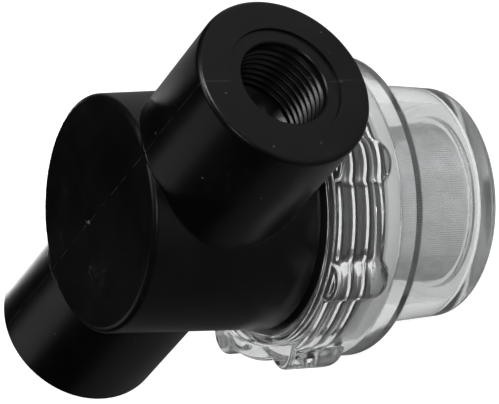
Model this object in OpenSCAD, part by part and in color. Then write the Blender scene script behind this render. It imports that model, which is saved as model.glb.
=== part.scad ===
// In-line water pump strainer: a moulded black head with two threaded ports,
// a clear bowl that screws onto it, a flat seal ring and a stainless mesh screen.
// The part stands on the bowl's underside. +Z is up, X runs along the ports.

/* [Ports] */
// Outside diameter of each port
port_d = 38; // [34:0.5:42]
// Distance from one port face to the other
port_span = 104.4; // [98:0.2:124]
// Wall diameter of each port's threaded hole
port_hole_d = 18.6; // [16:0.1:20]
// Length of the threaded wall in each port
port_hole_len = 17; // [12:0.5:19]
// Diameter of the shallow round recess in each port face
port_recess_d = 24.6; // [22:0.2:30]
// Depth of that recess
port_recess_depth = 0.6; // [0.3:0.1:1.5]
// Rounding of each port face's outer edge
port_edge_r = 0.8; // [0.3:0.1:2]
// Diameter of the waterway behind the thread
waterway_d = 14; // [10:0.5:15]

/* [Head] */
// Diameter of the head at its closed end
head_end_d = 50; // [49:0.2:54]
// Diameter of the head where it enters the bowl
head_mouth_d = 52.2; // [50:0.2:53.4]
// Height of the closed end above the port axis
end_above_axis = 19.1; // [17:0.1:26]
// Height of the port axis above the bowl's rim
axis_above_rim = 19.2; // [19.2:0.1:30]
// Rounding of the closed end's edge
end_edge_r = 1.4; // [0.5:0.1:3]
// Thickness of the head's closed end
end_wall = 4; // [3:0.1:6]
// Thickness of the head's side wall at its closed end
head_wall = 2.8; // [2:0.1:3]
// Outside diameter of the tube that the screen slips over
spigot_d = 34; // [30:0.1:34.4]
// Thickness of that tube's wall
spigot_wall = 3; // [2:0.1:4]
// How far the step that stops the screen stands out
spigot_step = 0.8; // [0.5:0.1:1]
// How far the screen reaches over the tube
screen_lap = 8.8; // [5:0.1:11]

/* [Bowl thread] */
// Rise of the thread in one turn
thread_pitch = 3.4; // [3.2:0.1:4]
// Diameter inside the bowl's thread ridge
thread_minor_d = 55; // [54.4:0.1:56]
// Height of the thread ridges
thread_depth = 2.4; // [1.8:0.1:2.6]
// Radial room between the two threads
thread_gap = 0.3; // [0.2:0.05:0.4]
// Room beside each ridge's flank
flank_gap = 0.25; // [0.15:0.05:0.35]
// Width of the head's ridge, half way up
head_ridge_w = 1.1; // [0.8:0.1:1.3]
// Half of the flanks' taper for each millimetre of height
flank_slope = 0.2; // [0.1:0.05:0.3]
// Turns of the ridge on the head
head_turns = 2.9; // [2:0.1:3]
// How far the bowl's ridge stops below the rim
ridge_drop = 0.3; // [0.1:0.1:0.6]

/* [Bowl] */
// Height of the bowl from its underside to its rim
bowl_h = 46.2; // [45:0.1:60]
// Height of the cup from its underside to the shoulder
cup_h = 24.4; // [20:0.1:26]
// Diameter of the cup below the shoulder
cup_top_d = 53.6; // [52.6:0.1:56]
// Diameter of the cup at its underside
cup_base_d = 50.8; // [49:0.1:53]
// Thickness of the cup's wall
cup_wall = 3.1; // [2.4:0.1:3.2]
// Thickness of the cup's floor
floor_t = 3.2; // [2.5:0.1:5]
// Rounding outside the cup's underside
base_edge_r = 2.3; // [1:0.1:4]
// Rounding inside the cup, round the floor
floor_edge_r = 2.2; // [1:0.1:3]
// Diameter of the threaded skirt
skirt_d = 65.6; // [64.6:0.2:70]
// Thickness of the shoulder between cup and skirt
shoulder_t = 4.5; // [2.8:0.1:5]
// Rounding of the shoulder's outer edge
shoulder_edge_r = 1.1; // [0.8:0.1:3]
// Rounding of the rim's outer edge
rim_edge_r = 0.6; // [0.2:0.1:1]
// Height of the low ring on the floor that centres the screen
locator_h = 1.2; // [0.8:0.1:2]
// Thickness of that ring
locator_w = 1.2; // [0.8:0.1:1.6]

/* [Grip lugs] */
// Number of grip lugs round the skirt
lug_count = 8; // [6:1:10]
// Radius of each round lug
lug_r = 5; // [4:0.1:5.5]
// How far each lug stands out of the skirt
lug_proud = 2.9; // [1.5:0.1:3]
// Length of each lug, down from the rim
lug_len = 14.5; // [10:0.5:16]
// Rounding of the lug's upper edge
lug_edge_r = 1.1; // [0.5:0.1:2]
// Turn of the lugs about the upright axis, from the first port
lug_turn = -12.5; // [-22:0.5:22]

/* [Seal and screen] */
// Thickness of the flat seal ring
seal_t = 3.1; // [2:0.1:3.6]
// Width of the flat seal ring
seal_w = 4.8; // [3:0.1:5]
// Room around the seal ring and above and below it
seal_gap = 0.25; // [0.1:0.05:0.4]
// Thickness of the screen's wall
screen_wall = 0.6; // [0.4:0.05:0.8]
// Radial room between the screen and what it slips over or into
screen_gap = 0.1; // [0.05:0.01:0.2]
// Rows of gaps up the screen
screen_rows = 8; // [4:1:9]
// Gaps round the screen, an even number
screen_columns = 12; // [8:2:12]
// Width of the ridges between the gaps
screen_bar = 2.4; // [1.8:0.1:3]

/* [Hidden] */
$fn = 96;
EPS = 0.01;
SINK = 0.4;
FACETS = 36;
FADE = 50;
rim_z = bowl_h;
axis_z = rim_z + axis_above_rim;
end_z = axis_z + end_above_axis;
port_x = port_span / 2;
bore_r = port_hole_d / 2;
water_r = waterway_d / 2;
thread_root_r = thread_minor_d / 2 + thread_depth;
head_root_r = thread_minor_d / 2 - thread_gap;
head_crest_r = thread_root_r - thread_gap;
bowl_ridge_w = thread_pitch - head_ridge_w - 2 * flank_gap;
ledge_z = cup_h + shoulder_t;
seal_z = ledge_z + seal_gap;
neck_z = seal_z + seal_t + seal_gap;
seal_r = thread_root_r - seal_gap;
cup_in_r = cup_top_d / 2 - cup_wall;
floor_in_r = cup_base_d / 2 - cup_wall;
chamber_r = head_end_d / 2 - head_wall;
mouth_r = head_mouth_d / 2 - head_wall - 0.4;
spigot_r = spigot_d / 2;
step_z = neck_z + screen_lap + seal_gap;
ceiling_z = end_z - end_wall;
screen_in_r = spigot_r + screen_gap;
screen_out_r = screen_in_r + screen_wall;
screen_top_z = neck_z + screen_lap;
// The bowl's ridge runs out through the rim on the side of the second port
ridge_meets_rim = 138;
half_depth = thread_depth / 2;
bowl_foot_w = width_at(bowl_ridge_w, -half_depth - SINK);
head_foot_w = width_at(head_ridge_w, -half_depth - SINK);
bowl_helix_z = rim_z - thread_pitch * ridge_meets_rim / 360;
head_helix_z = bowl_helix_z - thread_pitch / 2;

function width_at(mid_w, above_mid) = mid_w - 2 * flank_slope * above_mid;

function turn_at(z, helix_z) = 360 * (z - helix_z) / thread_pitch;

function arc(cx, cy, r, from, to, n = 8) =
    [for (i = [0:n]) [cx + r * cos(from + (to - from) * i / n), cy + r * sin(from + (to - from) * i / n)]];

// A right-hand helical ridge of trapezoid section that fades out at both ends.
// Its foot is at base_r and its top at crest_r, inside or outside the foot.
module helical_ridge(base_r, crest_r, base_w, crest_w, z_at_zero, from, to) {
    n = ceil((to - from) * FACETS / 360);
    height = crest_r - base_r;
    rings = [for (i = [0:n])
        let (a = from + (to - from) * i / n,
             rise = max(0.05, min(1, (a - from) / FADE, (to - a) / FADE)),
             top_r = base_r + height * rise,
             z = z_at_zero + thread_pitch * a / 360)
        [[base_r * cos(a), base_r * sin(a), z - base_w / 2],
         [top_r * cos(a), top_r * sin(a), z - crest_w / 2],
         [top_r * cos(a), top_r * sin(a), z + crest_w / 2],
         [base_r * cos(a), base_r * sin(a), z + base_w / 2]]];
    points = [for (ring = rings) each ring];
    sides = [for (i = [0:n - 1], k = [0:3])
        let (p = 4 * i + k, q = 4 * i + (k + 1) % 4)
        each [[p, p + 4, q + 4], [p, q + 4, q]]];
    caps = [[0, 1, 2], [0, 2, 3], [4 * n + 2, 4 * n + 1, 4 * n], [4 * n + 3, 4 * n + 2, 4 * n]];
    faces = concat(sides, caps);
    polyhedron(points, height < 0 ? faces : [for (f = faces) [f[2], f[1], f[0]]]);
}

module round_lug() {
    rotate_extrude($fn = 48)
        polygon(concat([[0, rim_z - lug_len], [EPS, rim_z - lug_len]],
            arc(0, rim_z - lug_len + lug_r, lug_r, -85, 0, 10),
            arc(lug_r - lug_edge_r, rim_z - EPS - lug_edge_r, lug_edge_r, 0, 90, 6),
            [[0, rim_z - EPS]]));
}

module bowl_outside() {
    base_r = cup_base_d / 2;
    top_r = cup_top_d / 2;
    skirt_r = skirt_d / 2;
    rotate_extrude()
        polygon(concat([[0, 0]],
            arc(base_r - base_edge_r, base_edge_r, base_edge_r, -90, 0),
            [[top_r, cup_h]],
            arc(skirt_r - shoulder_edge_r, cup_h + shoulder_edge_r, shoulder_edge_r, -90, 0),
            arc(skirt_r - rim_edge_r, rim_z - rim_edge_r, rim_edge_r, 0, 90, 4),
            [[0, rim_z]]));
}

module bowl_inside() {
    rotate_extrude()
        polygon(concat([[0, floor_t], [screen_out_r + screen_gap, floor_t],
            [screen_out_r + screen_gap, floor_t + locator_h],
            [screen_out_r + screen_gap + locator_w, floor_t + locator_h],
            [screen_out_r + screen_gap + locator_w, floor_t]],
            arc(floor_in_r - floor_edge_r, floor_t + floor_edge_r, floor_edge_r, -90, 0, 6),
            [[cup_in_r, ledge_z], [thread_root_r, ledge_z], [thread_root_r, rim_z + 1], [0, rim_z + 1]]));
}

module clear_bowl() color([0.86, 0.88, 0.88, 0.45]) {
    difference() {
        union() {
            bowl_outside();
            for (i = [0:lug_count - 1])
                rotate([0, 0, lug_turn + 360 * i / lug_count])
                    translate([skirt_d / 2 + lug_proud - lug_r, 0, 0])
                        round_lug();
        }
        bowl_inside();
    }
    intersection() {
        helical_ridge(thread_root_r + SINK, thread_minor_d / 2,
            bowl_foot_w, width_at(bowl_ridge_w, half_depth), bowl_helix_z,
            turn_at(neck_z + seal_gap + bowl_foot_w / 2, bowl_helix_z),
            turn_at(rim_z + bowl_foot_w, bowl_helix_z));
        cylinder(r = skirt_d / 2 - 1, h = rim_z - ridge_drop);
    }
}

module screen_gaps() {
    height = screen_top_z - screen_lap - floor_t - locator_h;
    step = height / screen_rows;
    width = PI * 2 * screen_out_r / screen_columns - screen_bar;
    for (row = [0:screen_rows - 1], column = [0:screen_columns / 2 - 1])
        rotate([0, 0, 360 * column / screen_columns])
            translate([-screen_out_r - 1, -width / 2, floor_t + locator_h + row * step + screen_bar / 2])
                cube([2 * screen_out_r + 2, width, step - screen_bar / 2]);
}

module screen() color([0.62, 0.64, 0.65]) {
    difference() {
        translate([0, 0, floor_t])
            cylinder(r = screen_out_r, h = screen_top_z - floor_t);
        translate([0, 0, floor_t - 1])
            cylinder(r = screen_in_r, h = screen_top_z - floor_t + 2);
        screen_gaps();
    }
}

module bowl_seal() color([0.85, 0.86, 0.84, 0.8]) {
    difference() {
        translate([0, 0, seal_z])
            cylinder(r = seal_r, h = seal_t);
        translate([0, 0, seal_z - 1])
            cylinder(r = seal_r - seal_w, h = seal_t + 2);
    }
}

module head_outside() {
    end_r = head_end_d / 2;
    mouth_out_r = head_mouth_d / 2;
    step = head_root_r - mouth_out_r;
    rotate_extrude()
        polygon(concat([[0, neck_z], [head_root_r, neck_z],
            [head_root_r, rim_z - 0.2 - step], [mouth_out_r, rim_z - 0.2]],
            arc(end_r - end_edge_r, end_z - end_edge_r, end_edge_r, 0, 90),
            [[0, end_z]]));
}

module port_outside() {
    rotate_extrude()
        polygon(concat([[0, 0], [port_d / 2, 0]],
            arc(port_d / 2 - port_edge_r, port_x - port_edge_r, port_edge_r, 0, 90, 6),
            [[0, port_x]]));
}

// Recess, thread hole and waterway of one port, cut from its face inwards to stop_x
module port_inside(stop_x) {
    hole_z = port_x - port_recess_depth - port_hole_len;
    translate([0, 0, port_x - port_recess_depth])
        cylinder(d = port_recess_d, h = 1 + port_recess_depth);
    translate([0, 0, hole_z])
        cylinder(r = bore_r, h = port_hole_len + 1);
    translate([0, 0, hole_z - 2])
        cylinder(r1 = water_r, r2 = bore_r, h = 2 + EPS);
    translate([0, 0, stop_x])
        cylinder(r = water_r, h = hole_z - stop_x);
}

// The room between the head's wall and the tube in its middle, open below.
// A solid web carries the second port's waterway across it.
module chamber() {
    web = water_r + spigot_wall;
    difference() {
        rotate_extrude()
            polygon([[spigot_r, neck_z - 1], [mouth_r, neck_z - 1], [mouth_r, rim_z],
                [chamber_r, ceiling_z], [spigot_r + spigot_step, ceiling_z],
                [spigot_r + spigot_step, step_z], [spigot_r, step_z]]);
        translate([-chamber_r - 1, -web, axis_z - web])
            cube([chamber_r + 1, 2 * web, end_z - axis_z + web]);
    }
}

module strainer_head() color([0.07, 0.07, 0.075]) {
    first = turn_at(neck_z + seal_gap + head_foot_w / 2, head_helix_z);
    difference() {
        union() {
            head_outside();
            for (side = [-90, 90])
                translate([0, 0, axis_z])
                    rotate([0, side, 0])
                        port_outside();
            helical_ridge(head_root_r - SINK, head_crest_r,
                head_foot_w, width_at(head_ridge_w, half_depth), head_helix_z,
                first, first + 360 * head_turns);
        }
        chamber();
        translate([0, 0, neck_z - 1])
            cylinder(r = spigot_r - spigot_wall, h = ceiling_z - neck_z + 1);
        translate([0, 0, axis_z]) {
            rotate([0, 90, 0])
                port_inside(spigot_r + spigot_step + 2);
            rotate([0, -90, 0])
                port_inside(spigot_r - spigot_wall - 2);
        }
    }
}

clear_bowl();
screen();
bowl_seal();
strainer_head();
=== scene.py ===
"""A clear-bowl strainer for a water pump: a black threaded head, a clear bowl that screws onto it,
a flat seal and a tube of woven wire. The strainer's sizes are in millimetres, and MM makes them metres."""
import math

import bmesh
import bpy
import numpy as np
from mathutils import Matrix, Quaternion, Vector


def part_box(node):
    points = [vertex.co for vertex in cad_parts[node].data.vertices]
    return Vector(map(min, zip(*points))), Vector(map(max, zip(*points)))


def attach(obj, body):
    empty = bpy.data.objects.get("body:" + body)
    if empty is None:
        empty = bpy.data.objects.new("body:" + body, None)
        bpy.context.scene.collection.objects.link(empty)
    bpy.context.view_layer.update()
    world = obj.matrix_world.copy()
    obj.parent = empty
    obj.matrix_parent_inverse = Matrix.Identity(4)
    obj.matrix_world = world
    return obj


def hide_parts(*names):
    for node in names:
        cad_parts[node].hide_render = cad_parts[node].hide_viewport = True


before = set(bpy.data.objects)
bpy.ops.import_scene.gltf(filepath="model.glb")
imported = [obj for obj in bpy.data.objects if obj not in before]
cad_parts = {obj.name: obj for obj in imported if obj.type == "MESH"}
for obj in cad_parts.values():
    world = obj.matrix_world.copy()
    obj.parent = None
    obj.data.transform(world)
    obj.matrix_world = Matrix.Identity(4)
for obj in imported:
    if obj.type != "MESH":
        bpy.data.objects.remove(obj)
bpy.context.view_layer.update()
MM = 0.001

# Camera. It looks down on the standing strainer from the first port's side, with a long lens.
# It is rolled until the head's closed end points to the left of the picture.
EYE = Vector((452.6, -245.6, 352.4)) * MM
AIM = Vector((0.64, 1.17, 47.54)) * MM
ROLL = math.radians(91.9)
LENS = 201.4

camera_data = bpy.data.cameras.new("camera")
camera_data.lens = LENS
camera_data.sensor_width = 36
camera_data.clip_start = 0.01
camera = bpy.data.objects.new("camera", camera_data)
camera.rotation_mode = "QUATERNION"
camera.rotation_quaternion = (AIM - EYE).to_track_quat("-Z", "Y") @ Quaternion((0, 0, 1), -ROLL)
camera.location = EYE
bpy.context.scene.collection.objects.link(camera)
bpy.context.scene.camera = camera
bpy.context.scene.view_settings.view_transform = "Standard"
bpy.context.scene.cycles.max_bounces = 24
bpy.context.scene.cycles.glossy_bounces = 16
bpy.context.scene.cycles.transmission_bounces = 20


# Studio. A pale floor and a backdrop that are white to the eye, apart from the strainer's soft shadow.
# The room is bright behind the camera and dim beyond the strainer, and seven soft lamps stand round it.
FLOOR_SIZE = 6.0
FLOOR_GAP = 0.0001
FRONT_TURN = math.radians(-25)
FRONT = (math.cos(FRONT_TURN), math.sin(FRONT_TURN), 0.0)
LAMP_SIDE = (0.9, 0.44, 0.0)
ROOM_DIM, ROOM_BRIGHT, ROOM_FALL = 0.04, 0.6, 1.8
# How bright room and paper look through clear plastic, and how bright the paper is in reflections.
THROUGH_ROOM, THROUGH_ROOM_DROP, THROUGH_PAPER = 0.85, 0.4, 0.85
GLOSS_PAPER, GLOSS_PAPER_BEYOND = 0.06, 0.1
# Painted shade and painted light for the paper: darker away from the lamps and lighter towards them.
PAPER_PAINTED_SHADE, PAPER_PAINTED_LIGHT = (0.05, 0.05, 0.05, 1), (0.3, 0.3, 0.3, 1)
PAPER_NEAR, PAPER_FAR, PAPER_SHADED = (0.87, 0.87, 0.87, 1), (1, 1, 1, 1), (0.35, 0.35, 0.35, 1)


class Shade:
    """A shader socket. Python's operators on one add Math nodes, and node() adds any other node."""

    def __init__(self, socket):
        self.socket = socket
        self.tree = socket.id_data

    def node(self, kind, settings=None, out=0, **inputs):
        made = self.tree.nodes.new("ShaderNode" + kind)
        for key, value in (settings or {}).items():
            setattr(made, key, value)
        for key, value in inputs.items():
            plug = made.inputs[int(key[2:])] if key.startswith("in") else made.inputs[key.replace("_", " ")]
            if isinstance(value, Shade):
                self.tree.links.new(value.socket, plug)
            else:
                plug.default_value = value
        return Shade(made.outputs[out])

    def maths(self, operation, *values):
        inputs = {f"in{i}": value for i, value in enumerate(values)}
        return self.node("Math", {"operation": operation}, **inputs)

    def __add__(self, other):
        return self.maths("ADD", self, other)

    __radd__ = __add__

    def __mul__(self, other):
        return self.maths("MULTIPLY", self, other)

    __rmul__ = __mul__

    def __sub__(self, other):
        return self.maths("SUBTRACT", self, other)

    def __rsub__(self, other):
        return self.maths("SUBTRACT", other, self)

    def __abs__(self):
        return self.maths("ABSOLUTE", self)

    def most(self, other):
        """The larger of two values."""
        return self.maths("MAXIMUM", self, other)

    def between(self, low, high):
        """0 below low, 1 above high, and smooth from one to the other."""
        settings = {"interpolation_type": "SMOOTHSTEP"}
        return self.node("MapRange", settings, in0=self, in1=low, in2=high, in3=0.0, in4=1.0)

    def blend(self, low, high):
        """The colour low where this value is 0 and high where it is 1."""
        return self.node("Mix", {"data_type": "RGBA"}, out=2, in0=self, in6=low, in7=high)

    def axis(self, name):
        """The X, Y or Z of a place."""
        return self.node("SeparateXYZ", out=name, Vector=self)

    def noise(self, scale, **inputs):
        """Soft noise over a place."""
        return self.node("TexNoise", Vector=self, Scale=scale, **inputs)

    def ray(self, kind):
        """1 for rays of that kind, such as Camera or Shadow, and 0 for the others."""
        return self.node("LightPath", out=f"Is {kind} Ray")


def finish(name, **constants):
    """A material with one Principled shader, that shader, and a function that links its sockets."""
    material = bpy.data.materials.new(name)
    material.use_nodes = True
    shader = material.node_tree.nodes["Principled BSDF"]
    for key, value in constants.items():
        shader.inputs[key.replace("_", " ")].default_value = value

    def put(**inputs):
        for key, value in inputs.items():
            material.node_tree.links.new(value.socket, shader.inputs[key.replace("_", " ")])

    return material, Shade(shader.outputs[0]), put


def show(material, result):
    """Makes another shader than the Principled one the material's surface."""
    tree = material.node_tree
    tree.links.new(result.socket, tree.nodes["Material Output"].inputs["Surface"])


world = bpy.data.worlds.new("room")
world.use_nodes = True
bpy.context.scene.world = world
backdrop = world.node_tree.nodes["Background"]
room = Shade(backdrop.outputs["Background"])
way = room.node("TexCoord", out="Generated")
through_level = THROUGH_ROOM - THROUGH_ROOM_DROP * way.axis("Z").between(0.1, 0.45)
seen = (room.ray("Transmission") * through_level).most(room.ray("Camera"))
in_front = way.node("VectorMath", {"operation": "DOT_PRODUCT"}, out="Value", in0=way, in1=FRONT) * 0.5 + 0.5
level = in_front.maths("POWER", in_front, ROOM_FALL) * ROOM_BRIGHT + ROOM_DIM
world.node_tree.links.new((level + (1 - level) * seen).socket, backdrop.inputs["Strength"])

floor_mesh = bpy.data.meshes.new("floor")
corners = [(x * FLOOR_SIZE, y * FLOOR_SIZE, -FLOOR_GAP) for x, y in ((-1, -1), (1, -1), (1, 1), (-1, 1))]
floor_mesh.from_pydata(corners, [], [(0, 1, 2, 3)])
floor = bpy.data.objects.new("floor", floor_mesh)
bpy.context.scene.collection.objects.link(floor)
paper, paper_out, put_paper = finish("paper", Roughness=0.9)
spot = paper_out.node("TexCoord", out="Object")
to_lamps = spot.node("VectorMath", {"operation": "DOT_PRODUCT"}, out="Value", in0=spot, in1=LAMP_SIDE)
# The paper's colour is painted lighter towards the lamps and darker away from them. This painted pool of light
# shows in reflections and in light bounced off the floor.
put_paper(Base_Color=to_lamps.between(-0.02, 0.16).blend(PAPER_PAINTED_SHADE, PAPER_PAINTED_LIGHT))
beyond = spot.axis("Y").between(0.05, 0.2)
seen = spot.ray("Camera").most((GLOSS_PAPER + GLOSS_PAPER_BEYOND * beyond) * spot.ray("Glossy"))
seen = seen.most(THROUGH_PAPER * spot.ray("Transmission"))
far = spot.node("VectorMath", {"operation": "LENGTH"}, out="Value", in0=spot).between(0.2, 0.8)
glow = seen.node("Emission", Strength=1.0, Color=far.blend(PAPER_NEAR, PAPER_FAR))
shaded = seen.node("BsdfDiffuse", Color=PAPER_SHADED)
show(paper, seen.node("MixShader", in0=seen, in1=paper_out, in2=glow.node("AddShader", in0=glow, in1=shaded)))
floor_mesh.materials.append(paper)

# Name, place, aim and size in metres, power, and whether the lamp shows in reflections and through
# clear plastic.
LAMPS = [("lamp_end", (-0.61, 0.02, 0.52), (0, 0, 0.06), (0.36, 0.24), 0.18, True, True),
         ("lamp_side", (0.74, 0.3, 0.36), (0.03, 0, 0.06), (0.16, 0.2), 3.2, True, True),
         ("lamp_edge", (0.43, 0.36, 0.66), (0.03, 0, 0.06), (0.2, 0.2), 1.8, True, True),
         ("lamp_back", (-0.195, 0.142, 0.046), (-0.04, 0, 0.07), (0.06, 0.075), 0.2, True, False),
         ("lamp_front", (0.7, -0.36, 0.56), (0, 0, 0.06), (0.2, 0.2), 0.8, True, False),
         ("lamp_top", (0.06, 0.22, 0.8), (0, 0, 0.06), (0.3, 0.3), 0.7, True, True),
         ("lamp_fill", (0.7, -0.5, 0.9), (0, 0, 0.05), (0.9, 0.9), 8.4, False, True)]
for name, spot, aim, size, power, reflected, through in LAMPS:
    lamp_data = bpy.data.lights.new(name, "AREA")
    lamp_data.shape = "RECTANGLE"
    lamp_data.size, lamp_data.size_y = size
    lamp_data.energy = power
    lamp = bpy.data.objects.new(name, lamp_data)
    lamp.location = spot
    lamp.rotation_mode = "QUATERNION"
    lamp.rotation_quaternion = (Vector(aim) - Vector(spot)).to_track_quat("-Z", "Y")
    lamp.visible_glossy = reflected
    lamp.visible_transmission = through
    lamp.visible_camera = False
    bpy.context.scene.collection.objects.link(lamp)


# Head. One black injection moulding: closed round end, two opposed ports and a threaded neck.
# The waterways, the tube for the screen and both pipe threads are cut out of the joined outside.
AXIS_Z = 65.4
HEAD_TOP_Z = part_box("strainer_head")[1].z / MM
NECK_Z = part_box("strainer_head")[0].z / MM
RIM_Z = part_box("clear_bowl")[1].z / MM
END_R, END_EDGE = 25.0, 1.4
MOUTH_OUT_R, MOUTH_Z, NECK_EDGE = 26.1, RIM_Z - 0.2, 0.4
# The bowl's ridge passes the rim at RIM_TURN degrees, and the head's own starts HEAD_START above its neck's end.
PITCH, RIM_TURN = 3.4, 138
HELIX_Z = RIM_Z - PITCH * RIM_TURN / 360
HEAD_ROOT_R, HEAD_CREST_R, HEAD_FOOT_W, HEAD_CREST_W = 27.2, 29.6, 1.6, 0.64
HEAD_HELIX_Z = HELIX_Z - PITCH / 2
HEAD_START, HEAD_TURNS, HEAD_FADE, HEAD_RELIEF = 1.45, 2.9, 40, 1.3
RIDGE_SOFT = 0.12
PORT_R, PORT_X, PORT_EDGE = 19.0, 52.2, 1.1
PORT_Z = HEAD_TOP_Z - PORT_R - 0.01
RECESS_R, RECESS_DEPTH = 12.3, 0.6
HOLE_R, HOLE_LEN, HOLE_CHAMFER, WATER_R, WATER_CONE = 9.3, 17.0, 0.25, 7.0, 2.0
PIPE_PITCH, PIPE_DEPTH, PIPE_FOOT_W, PIPE_CREST_W = 1.814, 1.15, 1.4, 0.2
PIPE_INNER, PIPE_OUTER, PIPE_CLEAR = 0.3, 1.4, 0.1
PIPE_FIRST, PIPE_LAST, PIPE_FADE = -200, -40, 90
SPIGOT_R, SPIGOT_IN_R, SPIGOT_STEP, STEP_Z = 17.0, 14.0, 0.8, 41.55
CHAMBER_R, CHAMBER_MOUTH_R, CEILING_Z, WEB_WALL = 22.2, 22.9, HEAD_TOP_Z - 4.1, 3
# Cores and cutters reach this far past the faces that they open. Points nearer than MERGE, in metres, are one.
PAST = 1
MERGE = 1e-6


def turn_of(columns):
    """Angles in degrees from 0 to 360, both ends included."""
    return np.linspace(0, 360, columns + 1)


def moved(x, y, z):
    """The matrix that carries a piece to a place in millimetres."""
    return Matrix.Translation((x * MM, y * MM, z * MM))


def flat_rings(outline, angles):
    """Rings for (radius, height) points, the same all round."""
    return [np.stack([np.full_like(angles, r), np.full_like(angles, z)], 1) for r, z in outline]


def arc(cx, cz, radius, start, end, steps=6):
    """(radius, height) points on a quarter or other part of a circle, angles in degrees."""
    turns = [math.radians(start + (end - start) * i / steps) for i in range(steps + 1)]
    return [(cx + radius * math.cos(t), cz + radius * math.sin(t)) for t in turns]


def ridge_rings(angles, low, high, pitch, helix_z, radii, widths, first, last, fade):
    """Rings between two heights for a wall with a right-hand ridge on it, from angle first to angle last.
    The radii are those of its root and crest, the widths those of its foot and crest."""
    root, crest = radii
    reach, flank = widths[0] / 2, (widths[0] - widths[1]) / 2
    soft = RIDGE_SOFT
    half = reach - flank * np.array([-soft, 0, soft, 1 - soft, 1, 1 + soft])
    steps = np.unique(np.round(np.concatenate([-half, half, [0, -0.499 * pitch]]) / pitch, 6))
    turns = range(math.floor((low - helix_z) / pitch) - 2, math.ceil((high - helix_z) / pitch) + 2)
    rings = []
    for u in sorted(k + s for k in turns for s in steps):
        z = np.clip(helix_z + pitch * (u + angles / 360), low, high)
        wound = (z - helix_z) / pitch - angles / 360
        ridge = np.round(wound)
        away = np.abs(wound - ridge) * pitch
        climb = (reach - away) / flank
        height = (np.sqrt(climb ** 2 + soft ** 2) - np.sqrt((climb - 1) ** 2 + soft ** 2) + 1) / 2
        along = angles + 360 * ridge
        height *= np.clip(np.minimum(along - first, last - along) / fade, 0, 1)
        rings.append(np.stack([root + (crest - root) * height, z], 1))
    return rings


def ring_mesh(rings, angles):
    """Points and faces of the surface through the rings."""
    rings = np.array(rings)
    across = np.cos(np.radians(angles)), np.sin(np.radians(angles))
    points = np.stack([rings[:, :, 0] * across[0], rings[:, :, 0] * across[1], rings[:, :, 1]], 2)
    count, columns = rings.shape[0], rings.shape[1]
    index = np.arange(count * columns).reshape(count, columns)
    faces = np.stack([index[:-1, :-1], index[:-1, 1:], index[1:, 1:], index[1:, :-1]], 2)
    return points.reshape(-1, 3), faces.reshape(-1, 4)


def mesh_piece(name, points, faces, turn=None):
    """An object from points in millimetres, with doubled points merged and faces turned outwards."""
    mesh = bpy.data.meshes.new(name)
    mesh.from_pydata((np.asarray(points) * MM).tolist(), [], np.asarray(faces).tolist())
    shape = bmesh.new()
    shape.from_mesh(mesh)
    bmesh.ops.remove_doubles(shape, verts=shape.verts, dist=MERGE)
    bmesh.ops.dissolve_degenerate(shape, edges=shape.edges, dist=MERGE)
    bmesh.ops.recalc_face_normals(shape, faces=shape.faces)
    if turn is not None:
        bmesh.ops.transform(shape, matrix=turn, verts=shape.verts)
    shape.to_mesh(mesh)
    shape.free()
    made = bpy.data.objects.new(name, mesh)
    bpy.context.scene.collection.objects.link(made)
    return made


def turned(name, outline, angles, turn=None):
    """A round object from its outline of (radius, height) points."""
    return mesh_piece(name, *ring_mesh(flat_rings(outline, angles), angles), turn=turn)


def combine(piece, tool, operation):
    """Adds the tool to the piece or cuts it away, and deletes the tool."""
    step = piece.modifiers.new("step", "BOOLEAN")
    step.operation = operation
    step.object = tool
    step.solver = "MANIFOLD"
    bpy.context.view_layer.update()
    made = bpy.data.meshes.new_from_object(piece.evaluated_get(bpy.context.evaluated_depsgraph_get()))
    piece.modifiers.clear()
    piece.data = made
    bpy.data.objects.remove(tool)


def smooth(piece, sharp_degrees):
    """Smooth shading with creases kept where faces meet at more than that angle."""
    piece.data.shade_smooth()
    piece.data.set_sharp_from_angle(angle=math.radians(sharp_degrees))


def box_piece(name, low, high):
    """A plain box between two corners."""
    points = [(x, y, z) for x in (low[0], high[0]) for y in (low[1], high[1]) for z in (low[2], high[2])]
    faces = [(0, 1, 3, 2), (4, 6, 7, 5), (0, 4, 5, 1), (2, 3, 7, 6), (0, 2, 6, 4), (1, 5, 7, 3)]
    return mesh_piece(name, points, faces)


around = turn_of(180)
thread_first = 360 * (NECK_Z + HEAD_START - HEAD_HELIX_Z) / PITCH
neck_thread = ridge_rings(around, NECK_Z + NECK_EDGE, RIM_Z - HEAD_RELIEF, PITCH, HEAD_HELIX_Z,
                          (HEAD_ROOT_R, HEAD_CREST_R), (HEAD_FOOT_W, HEAD_CREST_W),
                          thread_first, thread_first + 360 * HEAD_TURNS, HEAD_FADE)
closed_end = arc(END_R - END_EDGE, HEAD_TOP_Z - END_EDGE, END_EDGE, 0, 90, 8)
outside = (flat_rings([(0, NECK_Z), (HEAD_ROOT_R - NECK_EDGE, NECK_Z)], around) + neck_thread
           + flat_rings([(MOUTH_OUT_R, MOUTH_Z)] + closed_end + [(0, HEAD_TOP_Z)], around))
head = mesh_piece("head_moulding", *ring_mesh(outside, around))

port_edge = arc(PORT_R - PORT_EDGE, PORT_X - PORT_EDGE, PORT_EDGE, 0, 90, 6)
port_outline = [(0, 0), (PORT_R, 0)] + port_edge + [(0, PORT_X)]
to_side = {"a": Matrix.Rotation(math.radians(90), 4, "Y"), "b": Matrix.Rotation(math.radians(-90), 4, "Y")}
for side, turn in to_side.items():
    combine(head, turned("port_" + side, port_outline, turn_of(160), moved(0, 0, PORT_Z) @ turn), "UNION")

FILLET, FILLET_LEAST, FILLET_OVER, WEDGE_DEEP = 0.9, 0.12, 1.004, 1.25
FILLET_END, FILLET_FADE, FILLET_LOW, FILLET_LOW_SHARE = 0.93, 0.25, -0.9, 0.5


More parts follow.
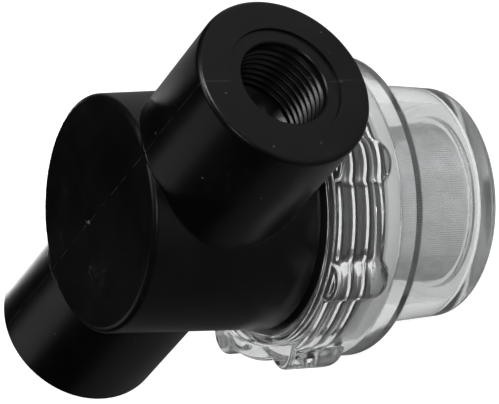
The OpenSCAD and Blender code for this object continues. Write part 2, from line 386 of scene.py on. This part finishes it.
def root_fillet(side):
    """The small fillet where a port leaves the head's round side, as a ring of wedge sections.
    It thins out towards the closed end and is smaller beside the bowl's rim."""
    sign = 1 if side == "a" else -1
    points, steps, across = [], 144, 6
    for i in range(steps):
        t = 2 * math.pi * i / steps
        up = math.sin(t)
        size = FILLET * min(1, max(FILLET_LEAST, (FILLET_END - up) / FILLET_FADE))
        if up < FILLET_LOW:
            size *= FILLET_LOW_SHARE
        y, z = (PORT_R + size) * math.cos(t), (PORT_R + size) * up
        share = min(1, max(0, (z + PORT_Z - RIM_Z) / (HEAD_TOP_Z - RIM_Z)))
        body_r = MOUTH_OUT_R + (END_R - MOUTH_OUT_R) * share
        x = math.sqrt((body_r + size) ** 2 - y * y)
        centre = np.array([x, y, z])
        on_port = np.array([x, y * PORT_R / (PORT_R + size), z * PORT_R / (PORT_R + size)])
        on_body = np.array([x * body_r / (body_r + size), y * body_r / (body_r + size), z])
        start, end = on_port - centre, on_body - centre
        for k in range(across + 1):
            ray = start * (1 - k / across) + end * k / across
            points.append(centre + ray * FILLET_OVER * size / np.linalg.norm(ray))
        points.append(centre + WEDGE_DEEP * (start + end))
    ring = across + 2
    faces = [(i * ring + k, i * ring + (k + 1) % ring,
              (i + 1) % steps * ring + (k + 1) % ring, (i + 1) % steps * ring + k)
             for i in range(steps) for k in range(ring)]
    points = [(sign * p[0], sign * p[1], p[2] + PORT_Z) for p in points]
    return mesh_piece("root_" + side, points, faces)


for side in to_side:
    combine(head, root_fillet(side), "UNION")

# Parting line. The mould's halves meet in the plane of the ports and leave a fine raised line
# over the closed end and along the ports.
LINE_W, LINE_PROUD, LINE_X = 0.24, 0.07, PORT_X - PORT_EDGE - 0.2
seam_low = (-LINE_X, -LINE_W / 2, AXIS_Z - PORT_R - LINE_PROUD)
seam_high = (LINE_X, LINE_W / 2, HEAD_TOP_Z + LINE_PROUD)
combine(head, box_piece("line", seam_low, seam_high), "UNION")

# Marks of the moulding: the torn stub of the gate near the middle of the closed end, the dish that
# an ejector pin left below it, and a speck of flash on the first port's recess.
GATE, GATE_R, GATE_DEEP, GATE_SIDES = (-4.8, 0.0, 0.0), 1.15, 0.2, 28
GATE_OUTLINE = [(GATE_R + 0.25, -GATE_DEEP), (GATE_R, 0.06), (GATE_R * 0.8, 0.34), (GATE_R * 0.35, 0.3)]
TORN_R, TORN_Z, TORN_FROM = 0.12, 0.11, 2
steps = turn_of(GATE_SIDES)
torn = np.random.default_rng(4).uniform(-1, 1, (len(GATE_OUTLINE), GATE_SIDES))
stub = flat_rings([(0, HEAD_TOP_Z - GATE_DEEP)], steps)
for k, (r, z) in enumerate(GATE_OUTLINE):
    wobble = np.append(torn[k], torn[k][0])
    rough = TORN_Z if k >= TORN_FROM else 0
    stub.append(np.stack([r * (1 + TORN_R * wobble), HEAD_TOP_Z + z + rough * wobble], 1))
stub += flat_rings([(0, HEAD_TOP_Z + GATE_DEEP)], steps)
combine(head, mesh_piece("gate", *ring_mesh(stub, steps), turn=moved(*GATE)), "UNION")

DISH, DISH_SIZE, DISH_TURN = (-7.9, -10.1, HEAD_TOP_Z), (2.6, 1.3, 0.16), 62
lie = Matrix.Rotation(math.radians(-DISH_TURN), 4, "Z") @ Matrix.Diagonal((*DISH_SIZE, 1))
combine(head, turned("dish", arc(0, 0, 1, -90, 90, 12), turn_of(48), moved(*DISH) @ lie), "DIFFERENCE")
SPECK, SPECK_R = (52.1, -0.8, 52.9), 0.36
combine(head, turned("speck", arc(0, 0, SPECK_R, -90, 90, 8), turn_of(16), moved(*SPECK)), "UNION")

# The rooms inside: the ring-shaped room round the tube, the web that shuts it off from the second port,
# and the tube's own bore.
low_z, step_r = NECK_Z - PAST, SPIGOT_R + SPIGOT_STEP
room_outline = [(SPIGOT_R, low_z), (CHAMBER_MOUTH_R, low_z), (CHAMBER_MOUTH_R, RIM_Z), (CHAMBER_R, CEILING_Z),
                (step_r, CEILING_Z), (step_r, STEP_Z), (SPIGOT_R, STEP_Z), (SPIGOT_R, low_z)]
chamber = turned("chamber", room_outline, turn_of(144))
web = WATER_R + WEB_WALL
web_low, web_high = (-CHAMBER_R - PAST, -web, AXIS_Z - web), (0, web, HEAD_TOP_Z + PAST)
combine(chamber, box_piece("web", web_low, web_high), "DIFFERENCE")
combine(head, chamber, "DIFFERENCE")
tube_outline = [(0, low_z), (SPIGOT_IN_R, low_z), (SPIGOT_IN_R, CEILING_Z), (0, CEILING_Z)]
combine(head, turned("tube", tube_outline, turn_of(120)), "DIFFERENCE")


def port_cavity(side, stop_x):
    """Recess, pipe thread and waterway of one port, as the core that forms them."""
    around = turn_of(144)
    face = PORT_X - RECESS_DEPTH
    end = face - HOLE_LEN
    low, high = end + PIPE_INNER, face - PIPE_OUTER
    grooves = ridge_rings(around, low, high, PIPE_PITCH, low, (HOLE_R, HOLE_R + PIPE_DEPTH),
                          (PIPE_FOOT_W, PIPE_CREST_W), PIPE_FIRST,
                          360 * (high - low) / PIPE_PITCH + PIPE_LAST, PIPE_FADE)
    mouth_r = HOLE_R + PIPE_CLEAR
    waterway = [(0, stop_x), (WATER_R, stop_x), (WATER_R, end - WATER_CONE), (HOLE_R, end)]
    mouth = [(mouth_r, high + PIPE_INNER), (mouth_r, face - HOLE_CHAMFER), (mouth_r + HOLE_CHAMFER, face),
             (RECESS_R, face), (RECESS_R, PORT_X + PAST), (0, PORT_X + PAST)]
    rings = flat_rings(waterway, around) + grooves + flat_rings(mouth, around)
    return mesh_piece("core_" + side, *ring_mesh(rings, around), turn=moved(0, 0, AXIS_Z) @ to_side[side])


INTO_ROOM = 2
combine(head, port_cavity("a", step_r + INTO_ROOM), "DIFFERENCE")
combine(head, port_cavity("b", SPIGOT_IN_R - INTO_ROOM), "DIFFERENCE")
smooth(head, 28)

# The joined faces are long and thin, so the ports, the side and the closed end take their normals
# from their true forms. A face counts as part of a form when its corners lie near it and it faces its way.
NEAR, NEAR_END, SAME_WAY = 0.02, 0.002, 0.97
PORT_FROM_X, SIDE_FROM_Z = 14, RIM_Z - 0.3
mesh = head.data
count = len(mesh.loops)
normals, spots, owners = np.empty(count * 3), np.empty(len(mesh.vertices) * 3), np.empty(count, int)
mesh.corner_normals.foreach_get("vector", normals)
mesh.vertices.foreach_get("co", spots)
mesh.loops.foreach_get("vertex_index", owners)
normals = normals.reshape(-1, 3)
x, y, z = (spots.reshape(-1, 3) / MM).T
up = z - PORT_Z
slope = (MOUTH_OUT_R - END_R) / (HEAD_TOP_Z - END_EDGE - MOUTH_Z)
side_r = END_R + slope * (HEAD_TOP_Z - END_EDGE - z)
on_port = (np.abs(np.hypot(y, up) - PORT_R) < NEAR) & (np.abs(x) > PORT_FROM_X)
on_side = (np.abs(np.hypot(x, y) - side_r) < NEAR) & (z > SIDE_FROM_Z)
on_end = np.abs(z - HEAD_TOP_Z) < NEAR_END
true_forms = ((on_port, np.stack([0 * x, y, up], 1)),
              (on_side, np.stack([x, y, slope * side_r], 1)),
              (on_end, np.stack([0 * x, 0 * x, 0 * x + 1], 1)))
for face in mesh.polygons:
    loops = np.arange(face.loop_start, face.loop_start + face.loop_total)
    corners = owners[loops]
    for there, forms in true_forms:
        if there[corners].all():
            true = forms[corners]
            if abs(np.dot(face.normal, true[0])) > SAME_WAY * np.linalg.norm(true[0]):
                normals[loops] = true
normals /= np.linalg.norm(normals, axis=1)[:, None]
mesh.normals_split_custom_set(normals.tolist())

# Satin black: fine grain, clouds of gloss, hairline scratches, specks of dust, and a painted highlight along the
# parting line where its raised edge would catch the light.
BLACK_DEEP, BLACK_WORN = (0.0016, 0.0016, 0.0017, 1), (0.0034, 0.0034, 0.0036, 1)
# The grey of dust and scratches, also used for the parting line's painted highlight.
DUST_AND_HIGHLIGHT_GREY = (0.05, 0.05, 0.05, 1)
HIGHLIGHT_LINE_NEAR, HIGHLIGHT_LINE_FAR = 0.00008, 0.00018
DUST_SCALE = 420.0
black, black_out, put_black = finish("black_plastic", Specular_IOR_Level=0.3)
spot = black_out.node("TexCoord", out="Object")
grain = spot.noise(1100.0, Detail=3.0, Roughness=0.6)
skin = spot.noise(260.0, Detail=3.0, Roughness=0.5)
clouds = spot.noise(55.0, Detail=5.0, Roughness=0.6)
streaks = []
for turn, scale in (((0.4, 0.9, 0.3), (30.0, 420.0, 120.0)), ((1.2, 0.2, 1.9), (90.0, 30.0, 520.0))):
    along = spot.node("Mapping", Vector=spot, Rotation=turn, Scale=scale)
    streaks.append(1 - abs(along.noise(1.0, Detail=1.0) - 0.5).between(0.0, 0.012))
scratch = streaks[0].most(streaks[1]) * clouds.between(0.56, 0.66)
cells = spot.node("TexVoronoi", Vector=spot, Scale=DUST_SCALE)
pick = spot.node("SeparateColor", Color=spot.node("TexVoronoi", out="Color", Vector=spot, Scale=DUST_SCALE))
dust = (1 - cells.between(0.06, 0.16)) * pick.between(0.93, 0.95)
# Painted highlight: a narrow band along the parting line is painted paler, as if its raised edge caught the
# light.
line = (1 - abs(spot.axis("Y")).between(HIGHLIGHT_LINE_NEAR, HIGHLIGHT_LINE_FAR)) * skin.between(0.4, 0.6)
dust_scratches_and_painted_highlight = dust.most(0.1 * scratch).most(0.3 * line)
relief = 0.35 * grain + skin + 0.5 * scratch + dust
put_black(Base_Color=dust_scratches_and_painted_highlight.blend(clouds.between(0.35, 0.7).blend(BLACK_DEEP, BLACK_WORN), DUST_AND_HIGHLIGHT_GREY),
          Roughness=0.22 + 0.18 * clouds + 0.1 * scratch + 0.2 * dust,
          Normal=black_out.node("Bump", Strength=0.4, Distance=0.00006, Height=relief))
head.data.materials.clear()
head.data.materials.append(black)
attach(head, "head")
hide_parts("strainer_head")

# Bowl. One clear injection moulding: cup, shoulder, threaded skirt and eight round grip lugs.
# Its surface is one closed skin, so light bends through the real wall thickness.
LEDGE_Z, LEDGE_EDGE, CUP_H, SKIRT_R = 28.9, 0.5, 24.4, 32.8
CUP_TOP_R, CUP_BASE_R, BASE_EDGE, BASE_RING_R, NECK_CORNER = 26.8, 25.4, 2.3, 12, 0.06
SHOULDER_EDGE, RIM_EDGE = 1.1, 0.6
CUP_IN_R, FLOOR_IN_R, FLOOR_T, FLOOR_EDGE = 23.7, 22.3, 3.2, 2.2
LOCATOR_IN_R, LOCATOR_OUT_R, LOCATOR_H, LOCATOR_EDGE, LOCATOR_FOOT = 17.8, 19.0, 1.2, 0.35, 0.1
BORE_R, BORE_EDGE, RIDGE_R, RIDGE_FOOT_W, RIDGE_CREST_W = 29.9, 0.3, 27.5, 2.3, 1.3
RIDGE_TOP_Z, RIDGE_START, RIDGE_END, RIDGE_FADE = RIM_Z - BORE_EDGE, 1.6, 3, 50
LUGS, LUG_R, LUG_PROUD, LUG_LEN, LUG_EDGE, LUG_TURN = 8, 5.0, 2.9, 14.5, 1.1, -12.5
LUG_BLEND, LUG_ROUND, LUG_SIDES = 0.35, 2.6, 3
LUG_HALF, LUG_COLUMNS, GAP_COLUMNS = 9.5, 25, 21
LUG_FOOT, LUG_FOOT_GAP, LUG_STEM = 0.5, 1.2, 1.2

sector = 360 / LUGS
over_lug = np.linspace(-LUG_HALF, LUG_HALF, LUG_COLUMNS)
over_gap = np.linspace(LUG_HALF, sector - LUG_HALF, GAP_COLUMNS)[1:-1]
columns = np.concatenate([np.concatenate([over_lug, over_gap]) + k * sector for k in range(LUGS)])
columns = np.sort(np.mod(columns + LUG_TURN, 360))
columns = np.concatenate([columns, [columns[0] + 360]])
ball_z, top_z = RIM_Z - LUG_LEN + LUG_R, RIM_Z - LUG_EDGE


def straight(start, end, steps=6):
    """Points on the straight way from start to end, without the start."""
    return [(start[0] + (end[0] - start[0]) * k / steps, start[1] + (end[1] - start[1]) * k / steps)
            for k in range(1, steps + 1)]


def skirt_ring(z, radius):
    """A ring of the skirt's outside at one height, swelling over each lug."""
    centre_r = SKIRT_R + LUG_PROUD - LUG_R
    reach = LUG_R
    if z < ball_z:
        reach = LUG_R * max(0, 1 - ((ball_z - z) / LUG_R) ** LUG_ROUND) ** (1 / LUG_ROUND)
    if z > top_z:
        reach = LUG_R - LUG_EDGE + math.sqrt(max(0, LUG_EDGE ** 2 - (z - top_z) ** 2))
    swing = np.radians(np.mod(columns - LUG_TURN + sector / 2, sector) - sector / 2)
    side = np.abs(centre_r * np.sin(swing))
    bulge = centre_r * np.cos(swing) + np.sqrt(np.maximum(0, reach ** 2 - side ** 2))
    bulge -= LUG_SIDES * np.maximum(0, side - reach)
    r = (radius + bulge + np.sqrt((radius - bulge) ** 2 + LUG_BLEND ** 2)) / 2
    return np.stack([r, np.full_like(r, z)], 1)


neck_z = CUP_H - NECK_CORNER
cup = ([(0, 0), (BASE_RING_R, 0)] + arc(CUP_BASE_R - BASE_EDGE, BASE_EDGE, BASE_EDGE, -90, 0, 14)
       + straight((CUP_BASE_R, BASE_EDGE), (CUP_TOP_R, neck_z))
       + arc(CUP_TOP_R + NECK_CORNER, neck_z, NECK_CORNER, 180, 90, 4)
       + arc(SKIRT_R - SHOULDER_EDGE, CUP_H + SHOULDER_EDGE, SHOULDER_EDGE, -90, 0, 8))
skirt_heights = [RIM_Z - LUG_LEN - LUG_FOOT_GAP, RIM_Z - LUG_LEN - LUG_FOOT]
skirt_heights += [ball_z - LUG_R * math.cos(math.radians(t)) for t in range(6, 91, 6)]
skirt_heights += list(np.linspace(ball_z + LUG_STEM, top_z, 6))
skirt_heights += [top_z + LUG_EDGE * math.sin(math.radians(t)) for t in range(9, 91, 9)]
skirt = []
for z in skirt_heights:
    drop = min(max(0, z - (RIM_Z - RIM_EDGE)), RIM_EDGE)
    skirt.append(skirt_ring(z, SKIRT_R - RIM_EDGE + math.sqrt(RIM_EDGE ** 2 - drop ** 2)))
ridge = ridge_rings(columns, LEDGE_Z + BORE_EDGE, RIDGE_TOP_Z, PITCH, HELIX_Z, (BORE_R, RIDGE_R),
                    (RIDGE_FOOT_W, RIDGE_CREST_W), 360 * (NECK_Z + RIDGE_START - HELIX_Z) / PITCH,
                    360 * (RIM_Z + RIDGE_END - HELIX_Z) / PITCH, RIDGE_FADE)
mouth = [(BORE_R, RIM_Z), (BORE_R, RIDGE_TOP_Z)]
cup_top = (CUP_IN_R, LEDGE_Z - LEDGE_EDGE)
locator_top = FLOOR_T + LOCATOR_H - LOCATOR_EDGE
inside = ([(BORE_R - BORE_EDGE, LEDGE_Z), (CUP_IN_R + LEDGE_EDGE, LEDGE_Z), cup_top]
          + straight(cup_top, (FLOOR_IN_R, FLOOR_T + FLOOR_EDGE))[:-1]
          + arc(FLOOR_IN_R - FLOOR_EDGE, FLOOR_T + FLOOR_EDGE, FLOOR_EDGE, 0, -90, 12)
          + [(LOCATOR_OUT_R + LOCATOR_FOOT, FLOOR_T), (LOCATOR_OUT_R, FLOOR_T + LOCATOR_FOOT)]
          + arc(LOCATOR_OUT_R - LOCATOR_EDGE, locator_top, LOCATOR_EDGE, 0, 90, 3)
          + arc(LOCATOR_IN_R + LOCATOR_EDGE, locator_top, LOCATOR_EDGE, 90, 180, 3)
          + [(LOCATOR_IN_R, FLOOR_T), (0, FLOOR_T)])
skin = (flat_rings(cup, columns) + skirt + flat_rings(mouth, columns) + ridge[::-1]
        + flat_rings(inside, columns))
bowl = mesh_piece("bowl_moulding", *ring_mesh(skin, columns))
smooth(bowl, 40)

# Clear plastic with a slight flow in its surface. Light for shadows passes it straight, so that the inside
# of the bowl and the floor below it are lit.
CLEAR = (0.8, 0.81, 0.81, 1)
clear, clear_out, put_clear = finish("clear_plastic", Base_Color=CLEAR, Roughness=0.05, IOR=1.55,
                                     Transmission_Weight=0.97)
flow = clear_out.node("TexCoord", out="Object").noise(140.0, Detail=2.0, Roughness=0.5)
put_clear(Normal=clear_out.node("Bump", Strength=0.08, Distance=0.0001, Height=flow))
open_air = clear_out.node("BsdfTransparent", Color=CLEAR)
show(clear, clear_out.node("MixShader", in0=clear_out.ray("Shadow"), in1=clear_out, in2=open_air))
bowl.data.materials.append(clear)
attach(bowl, "bowl")
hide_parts("clear_bowl")

# Seal. A flat ring of natural silicone, cut with slightly rounded edges.
# It lies on the bowl's ledge below the end of the head's neck.
SEAL_LOW, SEAL_HIGH = (corner.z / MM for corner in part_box("bowl_seal"))
SEAL_OUT_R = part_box("bowl_seal")[1].x / MM
SEAL_W, SEAL_EDGE = 4.8, 0.4
out_r, in_r = SEAL_OUT_R - SEAL_EDGE, SEAL_OUT_R - SEAL_W + SEAL_EDGE
seal_outline = (arc(out_r, SEAL_LOW + SEAL_EDGE, SEAL_EDGE, -90, 0, 4)
                + arc(out_r, SEAL_HIGH - SEAL_EDGE, SEAL_EDGE, 0, 90, 4)
                + arc(in_r, SEAL_HIGH - SEAL_EDGE, SEAL_EDGE, 90, 180, 4)
                + arc(in_r, SEAL_LOW + SEAL_EDGE, SEAL_EDGE, 180, 270, 4))
seal = turned("seal_ring", seal_outline + seal_outline[:1], turn_of(160))
smooth(seal, 40)
MILKY = (0.88, 0.88, 0.87, 1)
silicone, silicone_out, put_silicone = finish("natural_silicone", Base_Color=MILKY, IOR=1.41,
                                              Transmission_Weight=0.5)
haze = silicone_out.node("TexCoord", out="Object").noise(300.0, Detail=3.0)
put_silicone(Roughness=0.35 + 0.2 * haze,
             Normal=silicone_out.node("Bump", Strength=0.3, Distance=0.0001, Height=haze))
seal.data.materials.append(silicone)
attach(seal, "seal")
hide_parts("bowl_seal")

# Screen. Stainless wire cloth rolled into a tube: straight wires up it, and hoops woven in and out of them.
# A lap of doubled cloth closes it, and it stands on the bowl's floor round the head's tube.
SCREEN_LOW, SCREEN_HIGH = (corner.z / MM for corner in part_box("screen"))
SCREEN_R, WIRE_R = 17.4, 0.085
UPRIGHTS, HOOPS, WEAVE, SELVEDGE = 216, 74, 0.1, 0.2
LAP_TURN, LAP_WIDTH, LAP_OVER = -77.0, 14.0, 0.18
WIRE_SIDES = 3


def wire_section():
    """The corners of a wire's section, one wide."""
    turns = [2 * math.pi * k / WIRE_SIDES for k in range(WIRE_SIDES)]
    return [(math.cos(t), math.sin(t)) for t in turns]


def stem_turn(i):
    """The angle of upright i, in radians."""
    return 2 * math.pi * i / UPRIGHTS


def hoop(z, phase, first=0, count=UPRIGHTS, base_r=SCREEN_R):
    """Points of one hoop wire that passes outside one upright and inside the next."""
    points = []
    for i in range(first, first + count):
        t = stem_turn(i)
        r = base_r + (WEAVE if (i + phase) % 2 else -WEAVE)
        for a, b in wire_section():
            points.append(((r + WIRE_R * a) * math.cos(t), (r + WIRE_R * a) * math.sin(t), z - WIRE_R * b))
    return points


def upright(t, base_r=SCREEN_R):
    """Points of one straight wire up the tube."""
    points = []
    for z in (SCREEN_LOW + WIRE_R, SCREEN_HIGH - WIRE_R):
        for a, b in wire_section():
            r, turn = base_r + WIRE_R * a, t + WIRE_R * b / base_r
            points.append((r * math.cos(turn), r * math.sin(turn), z))
    return points


def joined(wires, closed):
    """One set of points and faces for wires that are each a row of sections."""
    points, faces = [], []
    for wire in wires:
        start, rows = len(points), len(wire) // WIRE_SIDES
        points += wire
        for i in range(rows if closed else rows - 1):
            a, b = start + WIRE_SIDES * i, start + WIRE_SIDES * ((i + 1) % rows)
            for k in range(WIRE_SIDES):
                after = (k + 1) % WIRE_SIDES
                faces.append((a + k, a + after, b + after, b + k))
        if not closed:
            end = start + WIRE_SIDES * (rows - 1)
            faces.append(tuple(start + k for k in reversed(range(WIRE_SIDES))))
            faces.append(tuple(end + k for k in range(WIRE_SIDES)))
    return points, faces


step_z = (SCREEN_HIGH - SCREEN_LOW - 2 * SELVEDGE) / (HOOPS - 1)
levels = [SCREEN_LOW + SELVEDGE + step_z * j for j in range(HOOPS)]
first = round((LAP_TURN - LAP_WIDTH / 2) / 360 * UPRIGHTS)
count = round(LAP_WIDTH / 360 * UPRIGHTS) + 1
lap_r = SCREEN_R + LAP_OVER
cloth_parts = [
    joined([hoop(z, j) for j, z in enumerate(levels)], True),
    joined([upright(stem_turn(i)) for i in range(UPRIGHTS)], False),
    joined([hoop(z + step_z / 2, j, first, count, lap_r) for j, z in enumerate(levels[:-1])], False),
    joined([upright(stem_turn(first + i + 0.5), lap_r) for i in range(count)], False),
]
points, faces = [], []
for part_points, part_faces in cloth_parts:
    faces += [tuple(len(points) + k for k in face) for face in part_faces]
    points += part_points
cloth_mesh = bpy.data.meshes.new("screen_cloth")
cloth_mesh.from_pydata((np.array(points) * MM).tolist(), [], faces)
cloth = bpy.data.objects.new("screen_cloth", cloth_mesh)
bpy.context.scene.collection.objects.link(cloth)
cloth_mesh.shade_smooth()
STEEL_DULL, STEEL_BRIGHT = (0.6, 0.6, 0.6, 1), (0.86, 0.87, 0.88, 1)
steel, steel_out, put_steel = finish("woven_steel", Metallic=1.0)
spot = steel_out.node("TexCoord", out="Object")
tarnish = spot.noise(170.0, Detail=4.0, Roughness=0.65)
put_steel(Base_Color=tarnish.between(0.35, 0.65).blend(STEEL_DULL, STEEL_BRIGHT),
          Roughness=0.24 + 0.2 * spot.noise(500.0, Detail=2.0))
cloth_mesh.materials.append(steel)
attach(cloth, "bowl")
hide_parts("screen")
